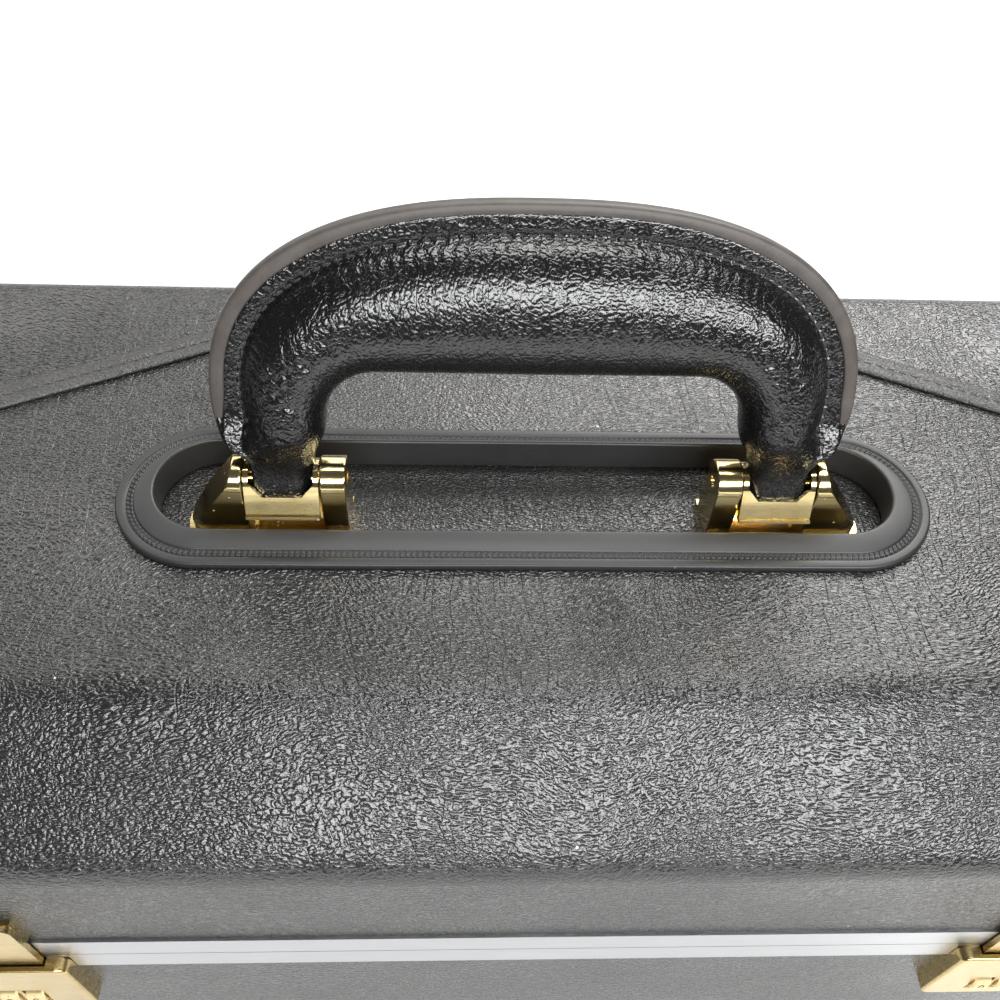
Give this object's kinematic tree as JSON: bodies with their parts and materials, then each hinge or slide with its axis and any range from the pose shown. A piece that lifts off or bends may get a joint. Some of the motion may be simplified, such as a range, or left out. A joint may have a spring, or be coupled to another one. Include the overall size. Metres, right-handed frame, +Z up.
{
  "type": "hard briefcase",
  "caption": "Tall hard attache case with a leather-grained skin over board, hinged lid, recessed well with a padded handle on brass brackets, and two combination locks.",
  "frame": {"origin": "bottom centre of the case, on the surface that its feet stand on", "axes": "+Z up, -Y to the front with the locks, +Y to the back with the hinge, X along the case's width"},
  "size_m": [0.458, 0.19, 0.4154],
  "materials": {
    "black_leatherette": "embossed black leather grain, satin to glossy",
    "fibre_board": "pressed brown board, matte",
    "lining_cloth": "dark woven lining",
    "aluminium_frame": "brushed, clear anodised",
    "black_moulding": "smooth satin dark grey",
    "handle_leather": "glossy black grained leather with painted edge",
    "polished_brass": "polished pale gold plating",
    "dial_brass": "satin brass number wheels",
    "plain_steel": "zinc plated, plain",
    "black_plastic": "fine matte"
  },
  "bodies": {
    "case_body": {"body_cover": "black_leatherette", "body_board": "fibre_board", "body_lining": "lining_cloth", "body_rim": "aluminium_frame", "hinge_leaf_body": "polished_brass", "hinge_pin": "polished_brass", "hinge_screws_body": "polished_brass", "lock_case_left": "polished_brass", "lock_case_right": "polished_brass", "lock_back_cover_left": "black_plastic", "lock_back_cover_right": "black_plastic", "dial_axle_left": "plain_steel", "dial_axle_right": "plain_steel", "feet": "polished_brass", "foot_screws": "plain_steel"},
    "lid": {"lid_cover": "black_leatherette", "lid_board": "fibre_board", "lid_lining": "lining_cloth", "lid_rim": "aluminium_frame", "yoke_panel": "black_leatherette", "bezel": "black_moulding", "well_frame": "fibre_board", "well_floor": "fibre_board", "well_lining": "black_leatherette", "handle_backing_plate": "plain_steel", "bracket_rivets": "plain_steel", "bracket_left": "polished_brass", "bracket_right": "polished_brass", "hasp_left": "polished_brass", "hasp_right": "polished_brass", "hasp_rivets": "polished_brass", "hinge_leaf_lid": "polished_brass", "hinge_screws_lid": "polished_brass"},
    "handle": {"handle_grip": "handle_leather", "handle_core": "plain_steel", "stirrup_left": "polished_brass", "stirrup_right": "polished_brass", "pivot_pins": "polished_brass"},
    "slide_left": {"lock_slide_left": "polished_brass"},
    "slide_right": {"lock_slide_right": "polished_brass"},
    "wheel_left_1": {"dial_left_1": "dial_brass"},
    "wheel_left_2": {"dial_left_2": "dial_brass"},
    "wheel_left_3": {"dial_left_3": "dial_brass"},
    "wheel_right_1": {"dial_right_1": "dial_brass"},
    "wheel_right_2": {"dial_right_2": "dial_brass"},
    "wheel_right_3": {"dial_right_3": "dial_brass"}
  },
  "joints": [
    {"name": "lid_hinge", "type": "hinge", "parent": "case_body", "child": "lid", "pos_m": [0, 0.0916, 0.25815], "axis": [-1, 0, 0], "range_deg": [0, 105]},
    {"name": "handle_pivot", "type": "hinge", "parent": "lid", "child": "handle", "pos_m": [0, -0.002, 0.348], "axis": [1, 0, 0], "range_deg": [-59, 99]},
    {"name": "lock_left", "type": "slide", "parent": "case_body", "child": "slide_left", "axis": [1, 0, 0], "range_m": [0, 0.0045]},
    {"name": "lock_right", "type": "slide", "parent": "case_body", "child": "slide_right", "axis": [-1, 0, 0], "range_m": [0, 0.0045]},
    {"name": "dial_left_1", "type": "hinge", "parent": "case_body", "child": "wheel_left_1", "pos_m": [0, -0.0878, 0.233], "axis": [1, 0, 0], "continuous": true},
    {"name": "dial_left_2", "type": "hinge", "parent": "case_body", "child": "wheel_left_2", "pos_m": [0, -0.0878, 0.233], "axis": [1, 0, 0], "continuous": true},
    {"name": "dial_left_3", "type": "hinge", "parent": "case_body", "child": "wheel_left_3", "pos_m": [0, -0.0878, 0.233], "axis": [1, 0, 0], "continuous": true},
    {"name": "dial_right_1", "type": "hinge", "parent": "case_body", "child": "wheel_right_1", "pos_m": [0, -0.0878, 0.233], "axis": [1, 0, 0], "continuous": true},
    {"name": "dial_right_2", "type": "hinge", "parent": "case_body", "child": "wheel_right_2", "pos_m": [0, -0.0878, 0.233], "axis": [1, 0, 0], "continuous": true},
    {"name": "dial_right_3", "type": "hinge", "parent": "case_body", "child": "wheel_right_3", "pos_m": [0, -0.0878, 0.233], "axis": [1, 0, 0], "continuous": true}
  ]
}
